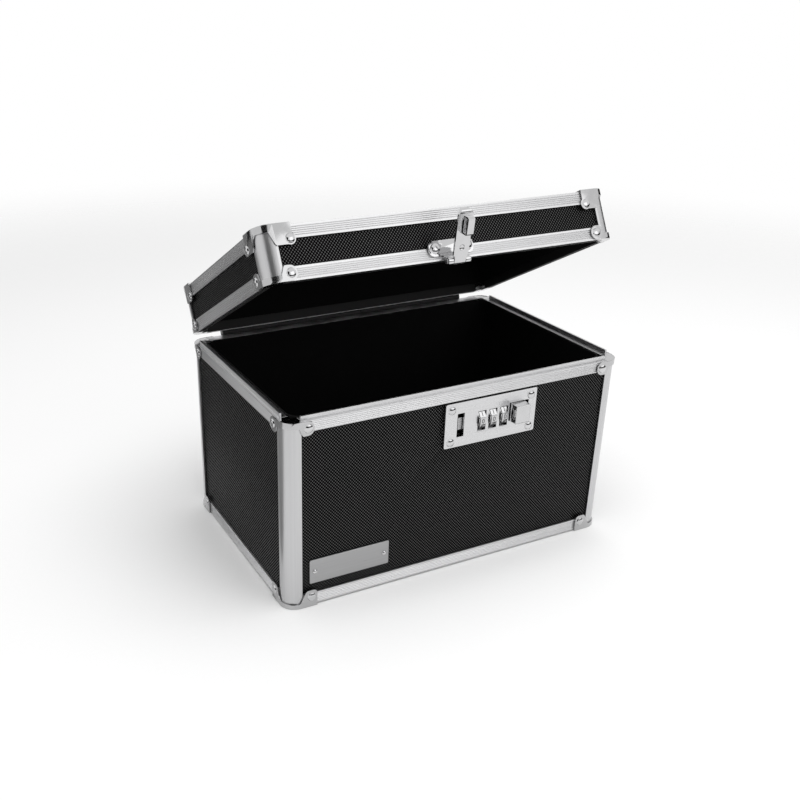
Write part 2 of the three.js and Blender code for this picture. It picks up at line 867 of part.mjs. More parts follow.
function dialAxle() {
  return rod(axleRadius, firstRibX, lastRibX + ribWidth, dialAxisY, lockCentreZ);
}

// Bolt: the tip that the button draws clear of the slot, an arm back past the wheels, a bar behind
// them and the button's carrier
const boltLow = lockCentreZ - boltHeight / 2;
const boltHigh = lockCentreZ + boltHeight / 2;
const boltArmX = slotX + slotWidth / 2 + boltArmGap;
const springZ = boltLow - springRadius - seatGap;
const springY = boltBarBack - springRadius;
const springLugX = firstRibX + ribWidth + springLugGap;
const springStartX = springLugX + springLugWidth + seatGap;
const springSeatX = lastRibX - springSeatGap - springSeatWidth;

function lockBolt() {
  const tipLeft = slotX + slotWidth / 2 - buttonTravel;
  const flangeFront = plateBackY + buttonSeat;
  const flangeBack = flangeFront + boltFlangeGauge;
  const blockHalf = boltBlockWidth / 2;
  return join(
    box(tipLeft, boltArmX + boltArmWidth, boltTipY, boltTipY + boltGauge, boltLow, boltHigh),
    box(boltArmX, boltArmX + boltArmWidth, boltTipY, boltBarBack, boltLow, boltHigh),
    box(boltArmX, buttonX + blockHalf, boltBarY, boltBarBack, boltLow, boltHigh),
    box(buttonX - blockHalf, buttonX + blockHalf, flangeFront, boltBarBack, boltLow, boltHigh),
    box(buttonLeft, buttonRight, flangeFront, flangeBack, buttonLow - flangeLap, buttonHigh + flangeLap),
    box(springLugX, springLugX + springLugWidth, springY - springRadius, boltBarBack,
      springZ - springRadius, boltLow),
  );
}

function slideButton() {
  const front = plateFrontY - buttonProud;
  const back = plateBackY + buttonSeat - seatGap;
  const body = box(buttonLeft, buttonRight, front + buttonBevel, back, buttonLow, buttonHigh);
  const capOutline = rectangle(
    buttonLeft + buttonBevel, buttonRight - buttonBevel,
    buttonLow + buttonBevel, buttonHigh - buttonBevel,
  );
  const shape = new THREE.Shape(outlineOf(capOutline));
  const bevel = { bevelThickness: buttonBevel, bevelSize: buttonBevel, bevelSegments: 1 };
  const cap = new THREE.ExtrudeGeometry(shape, { depth: buttonProud / 2, ...bevel });
  cap.rotateX(Math.PI / 2);
  cap.translate(0, front + buttonBevel + buttonProud / 2, 0);
  return join(body, solid(cap));
}

// Bolt spring: a helix of round wire between the bolt's lug and the housing's seat
class Helix extends THREE.Curve {
  getPoint(t, target = new THREE.Vector3()) {
    const angle = 2 * Math.PI * springTurns * t;
    const radius = springRadius - springWire / 2;
    const start = springStartX + springWire / 2 + seatGap;
    const run = springSeatX - start - springWire / 2 - seatGap;
    return target.set(
      start + run * t,
      springY + radius * Math.cos(angle),
      springZ + radius * Math.sin(angle),
    );
  }
}

function boltSpring() {
  const wire = new THREE.Shape(outlineOf(circle(0, 0, springWire / 2, springSides)));
  const steps = springTurns * springSteps;
  return solid(new THREE.ExtrudeGeometry(wire, { steps, extrudePath: new Helix(), bevelEnabled: false }));
}

// Lid rim trims: the channel below the web closes over the tongue, and the slot above it holds the wall
function lidRimProfile() {
  return [
    ...ribbedFace(lidRimZ, lidRimZ + lidRimFace),
    [trimGauge, lidRimZ + lidRimFace],
    [trimGauge, lidWebTop],
    [lidSlotBack, lidWebTop],
    [lidSlotBack, lidRimZ + innerLipHeight],
    [lidLipBack, lidRimZ + innerLipHeight],
    [lidLipBack, lidRimZ],
    [lidSlotBack, lidRimZ],
    [lidSlotBack, lidWebLow],
    [trimGauge, lidWebLow],
    [trimGauge, lidRimZ],
  ];
}

// The lid's side walls, one band bent round the corners
function lidWalls() {
  const outer = ringOutline(panelFace, postRadius - panelFace);
  const inset = panelFace + lidWallGauge;
  const inner = ringOutline(inset, postRadius - inset);
  return prism('z', outer, lidWebTop + seatGap, lidStackTop, [inner]);
}

function lidPanel() {
  const inset = lidSlotBack;
  return prism('z', ringOutline(inset, postRadius - inset), lidStackTop - panelGauge, lidStackTop);
}

function lidLining() {
  const inset = lidSlotBack;
  const open = lidRimZ + innerLipHeight + seatGap;
  return tray(inset, postRadius - inset, liningGauge, open, lidStackTop - panelGauge - seatGap);
}

// The lid's corner post, a quarter-round cover over the bend of the walls
function lidPost() {
  const outline = [
    [postFlange, 0],
    [postFlange, trimGauge],
    ...arc(postRadius, postRadius, postRadius - trimGauge, 270, 180),
    [trimGauge, postFlange],
    [0, postFlange],
    ...arc(postRadius, postRadius, postRadius, 180, 270),
  ];
  return prism('z', outline, lidRimZ + bracketOut, lidTrimTop - trimGauge - seatGap);
}

// Hasp base: a winged plate on the lid's rim trim with two domed studs and two knuckles
function haspBase() {
  const back = -halfDepth - seatGap;
  const front = back - haspPlateGauge;
  const low = lidRimZ + haspPlateLow;
  const high = lidRimZ + haspPlateHigh;
  const left = haspPlateX - haspPlateHalf;
  const right = haspPlateX + haspPlateHalf;
  const wings = roundedRectangle(left, right, low, high, haspPlateCorner, 3);
  const knuckleIn = haspArmKnuckle / 2 + knuckleGap;
  const knuckleOut = knuckleIn + haspKnuckle;
  const stepLow = lidRimZ + lidRimFace + seatGap;
  const overlap = back - haspPlateGauge / 2;
  const parts = [
    prism('y', wings, front, back),
    box(haspArmX - knuckleOut, haspArmX + knuckleOut, front, back, lidRimZ + seatGap, low + haspPlateCorner),
    box(left + haspPlateCorner, right - haspPlateCorner, overlap, -halfDepth + trimGauge, stepLow, high),
  ];
  const studZ = (low + high) / 2;
  for (const side of [-1, 1]) {
    const x0 = haspArmX + (side < 0 ? -knuckleOut : knuckleIn);
    const x1 = x0 + haspKnuckle;
    parts.push(rod(haspBarrel, x0, x1, haspAxisY, haspAxisZ));
    parts.push(prism('x', [
      [haspAxisY, haspAxisZ],
      [overlap, lidRimZ + seatGap],
      [overlap, lidRimZ + haspBarrel],
      [haspAxisY, haspAxisZ + haspBarrel],
    ], x0, x1));
    const studPlace = [haspPlateX + side * haspStudReach, front, studZ];
    parts.push(rivetHead(haspStudRadius, haspStudDome, studPlace, [0, -1, 0]));
  }
  const bore = rod(
    haspPinRadius + pinClearance,
    haspArmX - knuckleOut - 1, haspArmX + knuckleOut + 1,
    haspAxisY, haspAxisZ,
  );
  return cut(join(...parts), bore);
}

function haspPin() {
  const half = haspArmKnuckle / 2 + knuckleGap + haspKnuckle + seatGap;
  const left = haspArmX - half;
  const right = haspArmX + half;
  return join(
    rod(haspPinRadius, left - haspPinHeadLength, right + haspPinHeadLength, haspAxisY, haspAxisZ),
    rod(haspPinHead, left - haspPinHeadLength, left, haspAxisY, haspAxisZ),
    rod(haspPinHead, right, right + haspPinHeadLength, haspAxisY, haspAxisZ),
  );
}

// Hasp arm, drawn hanging from its pin at (0, 0) with the case towards +y
function haspArm() {
  const face = haspBarrel;
  const back = face - armGauge;
  const half = armWidth / 2;
  const neck = haspArmKnuckle / 2;
  const shoulder = -haspBarrel - 2 * knuckleGap;
  const end = -armStraight - armLipRadius;
  const outline = [
    [neck, 0],
    [-neck, 0],
    [-neck, shoulder],
    [-half, shoulder - 1],
    ...arc(-half + armCorner, end + armCorner, armCorner, 180, 270, 5),
    ...arc(half - armCorner, end + armCorner, armCorner, 270, 360, 5),
    [half, shoulder - 1],
    [neck, shoulder],
  ];
  const tipDepth = face - 2 * armLipRadius;
  const blank = prism('y', outline, tipDepth, face);
  const lipCentre = face - armLipRadius;
  const section = [
    [face, 0],
    ...arc(lipCentre, -armStraight, armLipRadius, 0, -armLipTurn, 6),
    ...arc(lipCentre, -armStraight, armLipRadius - armGauge, -armLipTurn, 0, 6),
    [back, 0],
  ];
  const plate = blank.intersect(prism('x', section, -half, half));
  const knuckle = rod(haspBarrel, -neck, neck, 0, 0);
  const bore = rod(haspPinRadius + pinClearance, -half, half, 0, 0);
  const dimple = rivetHead(armDimpleRadius, armDimpleDepth, [0, face, -armDimpleDrop], [0, -1, 0]);
  return join(moved(cut(join(plate, knuckle), bore, dimple), haspArmX, 0), staple(face));
}

// The staple stands on the arm's inner face, level with the slot, and its hole takes the bolt's tip
function staple(face) {
  const half = stapleWidth / 2;
  const middle = lockCentreZ - haspAxisZ;
  const low = middle - stapleHeight / 2;
  const high = middle + stapleHeight / 2;
  const holeFront = boltTipY - stapleHoleClearance - haspAxisY;
  const holeBack = boltTipY + boltGauge + stapleHoleClearance - haspAxisY;
  const nose = holeBack + stapleNose;
  const outline = [
    [face - armGauge / 2, low],
    [nose - 1, low],
    [nose, low + 1],
    [nose, high - 1],
    [nose - 1, high],
    [face - armGauge / 2, high],
  ];
  const holeHalf = stapleHoleHeight / 2;
  const hole = rectangle(holeFront, holeBack, middle - holeHalf, middle + holeHalf);
  return prism('x', outline, slotX - half, slotX + half, [hole]);
}

// Assembly
const model = new THREE.Group();
const caseGroup = new THREE.Group();
model.add(caseGroup);

addCasePanels(caseGroup);
addAlongSides(caseGroup, 'case_rim', caseRimProfile(true), caseRimProfile(false), trimMetal);
const baseTrim = edgeFrame(baseTrimZ, baseTrimZ + trimGauge, baseTrimZ, baseTrimZ + edgeTrimFace);
addPiece(caseGroup, 'base_trim', geometryOf(baseTrim), trimMetal());
addAtCorners(caseGroup, 'case_post', cornerPost(), postMetal);
addAtCorners(caseGroup, 'case_rim_corner', caseRimBracket(), chrome);
addAtCorners(caseGroup, 'base_corner', caseBaseBracket(), chrome);
addPiece(caseGroup, 'case_lining', geometryOf(caseLining()), liningBlack());

addPiece(caseGroup, 'lock_plate', geometryOf(lockPlate()), satinPlate());
addPiece(caseGroup, 'lock_housing', geometryOf(lockHousing()), castMetal());
addPiece(caseGroup, 'dial_axle', geometryOf(dialAxle()), steel());
addPiece(caseGroup, 'lock_bolt', geometryOf(lockBolt()), steel());
addPiece(caseGroup, 'slide_button', geometryOf(slideButton()), chrome());
addPiece(caseGroup, 'bolt_spring', geometryOf(boltSpring()), steel());
dialXs.forEach((x, i) => {
  const wheel = addPiece(caseGroup, `dial_${i + 1}`, geometryOf(dial(x)), dialSilver());
  wheel.position.set(0, dialAxisY, lockCentreZ);
});

addPiece(caseGroup, 'hinge_case_leaf', geometryOf(hingeLeaf(0, -1, caseRimFace)), trimMetal());
const pinHalf = hingeLength / 2;
const hingePin = rod(hingePinRadius, -pinHalf, pinHalf, hingeY, hingeZ, rivetSteps);
addPiece(caseGroup, 'hinge_pin', geometryOf(hingePin), steel());

// The lid is drawn closed, and turned open about the hinge pin
const lidGroup = new THREE.Group();
lidGroup.position.set(0, -hingeY, -hingeZ);
const lidPivot = new THREE.Group();
lidPivot.position.set(0, hingeY, hingeZ);
lidPivot.rotation.x = -THREE.MathUtils.degToRad(lidOpenAngle);
lidPivot.add(lidGroup);
model.add(lidPivot);

addPiece(lidGroup, 'lid_top_panel', geometryOf(lidPanel()), panelBlack());
addPiece(lidGroup, 'lid_walls', geometryOf(lidWalls()), panelBlack());
addAlongSides(lidGroup, 'lid_rim', lidRimProfile(), lidRimProfile(), trimMetal);
const topTrim = edgeFrame(lidTrimTop - trimGauge, lidTrimTop, lidTrimTop - edgeTrimFace, lidTrimTop);
addPiece(lidGroup, 'lid_top_trim', geometryOf(topTrim), trimMetal());
addAtCorners(lidGroup, 'lid_post', lidPost(), postMetal);
addAtCorners(lidGroup, 'lid_rim_corner', lidRimBracket(), chrome);
addAtCorners(lidGroup, 'lid_top_corner', lidTopBracket(), chrome);
addPiece(lidGroup, 'lid_lining', geometryOf(lidLining()), liningBlack());
addPiece(lidGroup, 'hinge_lid_leaf', geometryOf(hingeLeaf(1, 1, lidRimFace)), trimMetal());
addPiece(lidGroup, 'hasp_base', geometryOf(haspBase()), chrome());
addPiece(lidGroup, 'hasp_pin', geometryOf(haspPin()), steel());

// The hasp hangs from its pin, and is turned up
const haspGroup = new THREE.Group();
haspGroup.position.set(0, haspAxisY, haspAxisZ);
haspGroup.rotation.x = -THREE.MathUtils.degToRad(haspRestAngle);
lidGroup.add(haspGroup);
addPiece(haspGroup, 'hasp_arm', geometryOf(haspArm()), chrome());

// The origin lies under the middle of the whole box as it stands open
const bounds = new THREE.Box3().setFromObject(model, true);
model.position.y = -(bounds.min.y + bounds.max.y) / 2;

export default model;
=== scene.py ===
"""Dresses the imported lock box: materials, finer pieces, light and camera.

The scene is in metres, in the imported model's frame. Lengths that are multiplied by MM, the widths
of softened edges and the heights of faces are given in millimetres. A piece that stands for a
solid starts from a copy of its mesh, gets soft edges and smooth shading, and hides that solid.
"""
import json
import math

import bmesh
import bpy
from mathutils import Matrix, Vector

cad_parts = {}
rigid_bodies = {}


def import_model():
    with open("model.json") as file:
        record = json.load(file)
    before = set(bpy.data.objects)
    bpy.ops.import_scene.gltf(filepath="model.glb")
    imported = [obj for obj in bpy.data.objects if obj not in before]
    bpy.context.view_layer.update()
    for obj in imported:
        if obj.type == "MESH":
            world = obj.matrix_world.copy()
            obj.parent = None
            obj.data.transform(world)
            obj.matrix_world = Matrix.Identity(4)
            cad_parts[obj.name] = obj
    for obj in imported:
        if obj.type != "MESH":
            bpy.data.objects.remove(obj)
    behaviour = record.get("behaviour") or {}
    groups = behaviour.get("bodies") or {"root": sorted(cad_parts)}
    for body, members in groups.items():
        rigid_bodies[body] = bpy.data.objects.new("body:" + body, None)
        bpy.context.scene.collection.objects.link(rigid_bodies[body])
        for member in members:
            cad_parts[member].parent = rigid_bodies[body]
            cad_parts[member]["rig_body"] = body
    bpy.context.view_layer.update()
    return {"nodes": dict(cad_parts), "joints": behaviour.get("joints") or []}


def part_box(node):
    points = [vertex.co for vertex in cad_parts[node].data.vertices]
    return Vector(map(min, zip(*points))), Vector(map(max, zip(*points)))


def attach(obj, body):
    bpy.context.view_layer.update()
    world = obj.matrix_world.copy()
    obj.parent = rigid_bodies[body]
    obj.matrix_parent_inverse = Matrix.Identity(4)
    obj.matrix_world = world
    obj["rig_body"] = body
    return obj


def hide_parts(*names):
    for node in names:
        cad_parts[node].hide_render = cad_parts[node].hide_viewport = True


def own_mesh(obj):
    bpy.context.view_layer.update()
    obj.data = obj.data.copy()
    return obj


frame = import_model()
MM = 0.001

# Where the lid's hinge and the case's middle lie, how far the lid stands open at rest, and how far
# the base trim reaches from the middle
JOINTS = {joint["name"]: joint for joint in frame["joints"]}
LID_PIVOT = Vector(JOINTS["lid_hinge"]["pos_m"])
LID_ANGLE = math.radians(-JOINTS["lid_hinge"]["range_deg"][0])
CASE_Y = (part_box("left_panel")[0].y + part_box("left_panel")[1].y) / 2
HALF_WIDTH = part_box("base_trim")[1].x
HALF_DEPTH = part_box("base_trim")[1].y - CASE_Y
CORNERS = ("front_left", "front_right", "rear_left", "rear_right")
SIDES = ("front", "rear", "left", "right")

# Turns a point of the open lid to where it lies when the lid is closed, and back
LID_TO_CLOSED = (
    Matrix.Translation(LID_PIVOT)
    @ Matrix.Rotation(LID_ANGLE, 4, "X")
    @ Matrix.Translation(-LID_PIVOT)
)
LID_TO_OPEN = LID_TO_CLOSED.inverted()

# How deep the bumps of fine grain, studs and nap are
GRAIN_DEPTH = 0.0001
STUD_DEPTH = 0.0002
NAP_DEPTH = 0.0003


# Materials

def new_material(name, color, metallic, roughness, specular=0.5):
    material = bpy.data.materials.new(name)
    material.use_nodes = True
    shader = material.node_tree.nodes["Principled BSDF"]
    shader.inputs["Base Color"].default_value = (*color, 1)
    shader.inputs["Metallic"].default_value = metallic
    shader.inputs["Roughness"].default_value = roughness
    shader.inputs["Specular IOR Level"].default_value = specular
    return material, shader


class Graph:
    """Adds nodes to a material, with links given as sockets and plain numbers as values."""

    def __init__(self, material):
        self.tree = material.node_tree

    def fill(self, slot, value):
        if isinstance(value, bpy.types.NodeSocket):
            self.tree.links.new(value, slot)
        elif isinstance(value, tuple) and len(value) == 3 and slot.type == "RGBA":
            slot.default_value = (*value, 1)
        else:
            slot.default_value = value

    def node(self, kind, inputs=None, **settings):
        made = self.tree.nodes.new(kind)
        for key, value in settings.items():
            setattr(made, key, value)
        for key, value in (inputs or {}).items():
            self.fill(made.inputs[key], value)
        return made

    def math(self, operation, *values):
        made = self.node("ShaderNodeMath", operation=operation)
        for slot, value in zip(made.inputs, values):
            self.fill(slot, value)
        return made.outputs[0]

    def noise(self, vector, scale, detail=3.0, roughness=0.55):
        inputs = {"Vector": vector, "Scale": scale, "Detail": detail, "Roughness": roughness}
        return self.node("ShaderNodeTexNoise", inputs).outputs["Fac"]

    def spread(self, value, low, high):
        """Low where the value is 0 and high where it is 1."""
        inputs = {"Value": value, "To Min": low, "To Max": high}
        return self.node("ShaderNodeMapRange", inputs).outputs["Result"]

    def smooth(self, value, start, end):
        """0 up to the start and 1 from the end on, with a soft slope between them."""
        inputs = {"Value": value, "From Min": start, "From Max": end}
        made = self.node("ShaderNodeMapRange", inputs, interpolation_type="SMOOTHSTEP")
        return made.outputs["Result"]

    def mix(self, factor, a, b):
        made = self.node("ShaderNodeMix", {"Factor": factor}, data_type="RGBA")
        self.fill(made.inputs[6], a)
        self.fill(made.inputs[7], b)
        return made.outputs[2]

    def bump(self, height, strength, distance, shader):
        inputs = {"Height": height, "Strength": strength, "Distance": distance}
        self.link(self.node("ShaderNodeBump", inputs).outputs["Normal"], shader.inputs["Normal"])

    def link(self, source, target):
        self.tree.links.new(source, target)


def grey(tone, blue=1.01):
    return (tone, tone, tone * blue)


def stretched(graph, first_scale, second_scale):
    """The map's two coordinates, in metres, each at its own scale."""
    uv = graph.node("ShaderNodeUVMap")
    scale = {"Vector": uv.outputs["UV"], "Scale": (first_scale, second_scale, 1)}
    return graph.node("ShaderNodeMapping", scale).outputs["Vector"]


def object_place(graph):
    return graph.node("ShaderNodeTexCoord").outputs["Object"]


def trim_material():
    """Extruded aluminium: drawn lines along the length over a satin ground."""
    material, shader = new_material("trim_aluminium", grey(0.65), 1, 0.34)
    graph = Graph(material)
    lines = graph.noise(stretched(graph, 6, 2600), 1.0, 4)
    cloud = graph.noise(stretched(graph, 40, 40), 1.0, 3)
    graph.link(graph.mix(lines, grey(0.54), grey(0.76)), shader.inputs["Base Color"])
    rough = graph.math("ADD", graph.spread(lines, 0.26, 0.4), graph.spread(cloud, -0.04, 0.08))
    graph.link(rough, shader.inputs["Roughness"])
    graph.bump(lines, 0.12, GRAIN_DEPTH, shader)
    return material


def post_material():
    """The posts are smoother: a satin drawn tube."""
    material, shader = new_material("post_aluminium", grey(0.56), 1, 0.32)
    graph = Graph(material)
    lines = graph.noise(stretched(graph, 900, 5), 1.0, 3)
    graph.link(graph.mix(lines, grey(0.51), grey(0.61)), shader.inputs["Base Color"])
    graph.link(graph.spread(lines, 0.26, 0.36), shader.inputs["Roughness"])
    return material


def chrome_material(name, tone, rough):
    """Bright plating with faint pits and hand marks."""
    material, shader = new_material(name, grey(tone), 1, rough)
    graph = Graph(material)
    marks = graph.noise(object_place(graph), 160, 4)
    pits = graph.noise(object_place(graph), 2200, 2)
    graph.link(graph.spread(marks, rough * 0.6, rough * 1.7), shader.inputs["Roughness"])
    graph.link(graph.mix(marks, grey(tone * 0.9), grey(tone * 1.05)), shader.inputs["Base Color"])
    graph.bump(pits, 0.05, GRAIN_DEPTH, shader)
    return material


def plate_material(name, tone, rough, first_scale=14, second_scale=900):
    """Rolled plate with a fine brushed grain, drawn out where the scale is low."""
    material, shader = new_material(name, grey(tone), 1, rough)
    graph = Graph(material)
    grain = graph.noise(stretched(graph, first_scale, second_scale), 1.0, 5)
    cloud = graph.noise(stretched(graph, 60, 60), 1.0, 2)
    graph.link(graph.mix(grain, grey(tone * 0.9), grey(tone * 1.05)), shader.inputs["Base Color"])
    grain_rough = graph.spread(grain, rough * 0.85, rough * 1.15)
    full_rough = graph.math("ADD", grain_rough, graph.spread(cloud, -0.05, 0.06))
    graph.link(full_rough, shader.inputs["Roughness"])
    graph.bump(grain, 0.06, GRAIN_DEPTH, shader)
    return material


def panel_material():
    """Black film embossed with staggered oval studs, glossy on their crests; their lighter colour
    is a painted highlight.
    """
    stud_pitch, row_pitch = 0.0020, 0.0022
    material, shader = new_material("panel_film", grey(0.008), 0, 0.5, 0.25)
    graph = Graph(material)
    uv = graph.node("ShaderNodeUVMap").outputs["UV"]
    split = graph.node("ShaderNodeSeparateXYZ", {"Vector": uv})
    across, up = (
        graph.math("COSINE", graph.math("MULTIPLY", split.outputs[axis], 2 * math.pi / pitch))
        for axis, pitch in (("X", stud_pitch), ("Y", row_pitch))
    )
    stud = graph.smooth(graph.math("MULTIPLY", across, up), 0.0, 0.6)
    # Painted highlight: the crests' colour is lighter than the ground, in patches, standing in for
    # their sheen
    sheen_patches = graph.noise(stretched(graph, 35, 35), 1.0, 4)
    crest_painted_sheen = graph.mix(sheen_patches, grey(0.01), grey(0.022))
    graph.link(graph.mix(stud, grey(0.001), crest_painted_sheen), shader.inputs["Base Color"])
    graph.link(graph.spread(stud, 0.0, 0.85), shader.inputs["Specular IOR Level"])
    graph.link(graph.spread(stud, 0.8, 0.28), shader.inputs["Roughness"])
    graph.bump(stud, 0.6, STUD_DEPTH, shader)
    return material


def lining_material():
    """Matt black flock."""
    material, shader = new_material("lining_flock", grey(0.006), 0, 0.95, 0.1)
    graph = Graph(material)
    nap = graph.noise(object_place(graph), 2600, 3)
    patch = graph.noise(object_place(graph), 45, 3)
    graph.link(graph.mix(nap, grey(0.003), grey(0.011)), shader.inputs["Base Color"])
    graph.link(graph.spread(patch, 0.8, 1.0), shader.inputs["Roughness"])
    graph.bump(nap, 0.5, NAP_DEPTH, shader)
    return material


def coat_material(name, tone, rough):
    """Black paint with a slight orange peel."""
    material, shader = new_material(name, grey(tone), 0, rough, 0.3)
    graph = Graph(material)
    peel = graph.noise(object_place(graph), 900, 3)
    graph.link(graph.mix(peel, grey(tone * 0.7), grey(tone * 1.4)), shader.inputs["Base Color"])
    graph.link(graph.spread(peel, rough * 0.9, rough * 1.15), shader.inputs["Roughness"])
    graph.bump(peel, 0.08, GRAIN_DEPTH, shader)
    return material


def ink_material():
    """Black paint in the digits."""
    material, shader = new_material("digit_ink", grey(0.012), 0, 0.45)
    graph = Graph(material)
    speck = graph.noise(object_place(graph), 1500, 3)
    graph.link(graph.mix(speck, grey(0.008), grey(0.03)), shader.inputs["Base Color"])
    return material


TRIM = trim_material()
POST = post_material()
CHROME = chrome_material("bracket_plating", 0.5, 0.14)
RIVET = chrome_material("rivet_plating", 0.6, 0.06)
BRIGHT = chrome_material("hasp_plating", 0.58, 0.08)
PLATE = plate_material("lock_plate_satin", 0.64, 0.28)
NAME_PLATE = plate_material("nameplate_satin", 0.4, 0.3)
DIAL = plate_material("dial_satin", 0.56, 0.22, first_scale=900, second_scale=14)
STEEL = plate_material("plain_steel", 0.42, 0.32)
CAST = chrome_material("cast_zinc", 0.26, 0.42)
# Black paint for the hinge leaves, also used as painted shade on the lid rims' inner lip and the
# wheels' cheeks
BLACK_PAINT_AND_SHADE = coat_material("black_paint_and_painted_shade", 0.012, 0.5)
FILM = panel_material()
FLOCK = lining_material()
INK = ink_material()


# Mesh helpers

def on_lid(node):
    return frame["nodes"][node].get("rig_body") in ("lid", "hasp")


def map_faces(mesh, to_closed):
    """Maps each face flat in metres from its main direction, in the closed box's frame."""
    layer = mesh.uv_layers.new(name="map") if not mesh.uv_layers else mesh.uv_layers[0]
    turn = to_closed.to_3x3()
    for polygon in mesh.polygons:
        normal = turn @ polygon.normal
        axis = max(range(3), key=lambda i: abs(normal[i]))
        first, second = ((1, 2), (0, 2), (0, 1))[axis]
        for loop in polygon.loop_indices:
            point = to_closed @ mesh.vertices[mesh.loops[loop].vertex_index].co
            layer.data[loop].uv = (point[first], point[second])


def clean_copy(node):
    """A copy of a solid's mesh, with the triangles of its flat faces paired up."""
    mesh = frame["nodes"][node].data.copy()
    work = bmesh.new()
    work.from_mesh(mesh)
    bmesh.ops.remove_doubles(work, verts=work.verts, dist=1e-6)
    bmesh.ops.join_triangles(
        work,
        faces=work.faces,
        angle_face_threshold=math.radians(0.5),
        angle_shape_threshold=math.pi,
    )
    work.to_mesh(mesh)
    work.free()
    mesh.materials.clear()
    return mesh


def mark_faces(mesh, material, to_closed, low, high):
    """Gives the faces that lie between two distances outside the base trim's sides a material."""
    mesh.materials.append(material)
    for polygon in mesh.polygons:
        place = to_closed @ polygon.center
        beyond = max(abs(place.x) - HALF_WIDTH, abs(place.y - CASE_Y) - HALF_DEPTH)
        if low < beyond < high:
            polygon.material_index = len(mesh.materials) - 1


def show(name, mesh, material, body, smooth=30, soften=0.0, segments=2, to_closed=None):
    """Adds a piece that rides on a body, with softened edges and smooth curved faces."""
    if not mesh.materials:
        mesh.materials.append(material)
    map_faces(mesh, to_closed or Matrix.Identity(4))
    for polygon in mesh.polygons:
        polygon.use_smooth = True
    piece = bpy.data.objects.new(name, mesh)
    bpy.context.scene.collection.objects.link(piece)
    mesh.set_sharp_from_angle(angle=math.radians(smooth))
    if soften:
        bevel = piece.modifiers.new("soft_edges", "BEVEL")
        bevel.width = soften * MM
        bevel.segments = segments
        bevel.limit_method = "ANGLE"
        bevel.angle_limit = math.radians(smooth)
        bevel.harden_normals = True
        bevel.miter_outer = "MITER_ARC"
    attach(piece, body)
    return piece


def dress(node, material, soften=0.0, segments=2, proud=None, deep=None):
    """A finer copy of one solid takes its place.

    Proud is a material and a height past which faces get it, such as rivet heads, and deep is a
    material and a depth past which faces get it.
    """
    body = frame["nodes"][node]["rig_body"]
    to_closed = LID_TO_CLOSED if on_lid(node) else Matrix.Identity(4)
    mesh = clean_copy(node)
    if proud or deep:
        mesh.materials.append(material)
    if proud:
        mark_faces(mesh, proud[0], to_closed, proud[1] * MM, math.inf)
    if deep:
        mark_faces(mesh, deep[0], to_closed, -math.inf, -deep[1] * MM)
    piece = show(
        node + "_skin", mesh, material, body, soften=soften, segments=segments, to_closed=to_closed
    )
    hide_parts(node)
    return piece


def dome(work, centre, out, radius, height, sides=28, rings=6):
    """A domed rivet head on a face, standing out along a direction."""
    turn = Vector((0, 0, 1)).rotation_difference(Vector(out)).to_matrix()
    centre = Vector(centre)
    rows = []
    for ring in range(rings):
        angle = math.pi / 2 * ring / rings
        reach, rise = radius * math.cos(angle), height * math.sin(angle)
        rows.append([
            work.verts.new(centre + turn @ Vector((
                reach * math.cos(2 * math.pi * side / sides),
                reach * math.sin(2 * math.pi * side / sides),
                rise,
            )))
            for side in range(sides)
        ])
    top = work.verts.new(centre + turn @ Vector((0, 0, height)))
    for lower, upper in zip(rows, rows[1:]):
        for i in range(sides):
            work.faces.new((lower[i], lower[(i + 1) % sides], upper[(i + 1) % sides], upper[i]))
    for i in range(sides):
        work.faces.new((rows[-1][i], rows[-1][(i + 1) % sides], top))
    work.faces.new(reversed(rows[0]))


def finished(work, name):
    bmesh.ops.recalc_face_normals(work, faces=work.faces)
    mesh = bpy.data.meshes.new(name)
    work.to_mesh(mesh)
    work.free()
    return mesh


# Heights outside the base trim's sides past which these pieces' faces are rivet heads, and the
# depth past which a lid rim's faces are its inner lip, painted black as painted shade
BRACKET_FACE = 1.05
HASP_BASE_FACE = 1.45
LOCK_PLATE_FACE = 0.45
PAINTED_SHADE_LIP_DEPTH = 3.0

# Widths of the softened edges, from the crispest to the softest pieces
AXLE_EDGE = 0.1
TRIM_EDGE = 0.12
DRAWN_EDGE = 0.15
FITTING_EDGE = 0.2
PLATE_EDGE = 0.25
SHEET_EDGE = 0.3
CLOTH_EDGE = 0.4


# Case and lid
for side in SIDES + ("bottom",):
    dress(f"{side}_panel", FILM, SHEET_EDGE)
for node in ("lid_top_panel", "lid_walls"):
    dress(node, FILM, SHEET_EDGE)
for side in SIDES:
    dress(f"case_rim_{side}", TRIM, TRIM_EDGE)
    # The lid rim's inner lip, past the set depth, is painted black: painted shade under the lid
    dress(f"lid_rim_{side}", TRIM, TRIM_EDGE, deep=(BLACK_PAINT_AND_SHADE, PAINTED_SHADE_LIP_DEPTH))
for node in ("base_trim", "lid_top_trim"):
    dress(node, TRIM, TRIM_EDGE)
for corner in CORNERS:
    dress(f"case_post_{corner}", POST, DRAWN_EDGE)
    dress(f"lid_post_{corner}", POST, DRAWN_EDGE)
    for kind in ("case_rim", "base", "lid_rim", "lid_top"):
        bracket = f"{kind}_corner_{corner}"
        dress(bracket, CHROME, SHEET_EDGE, segments=3, proud=(RIVET, BRACKET_FACE))
for node in ("case_lining", "lid_lining"):
    dress(node, FLOCK, CLOTH_EDGE)


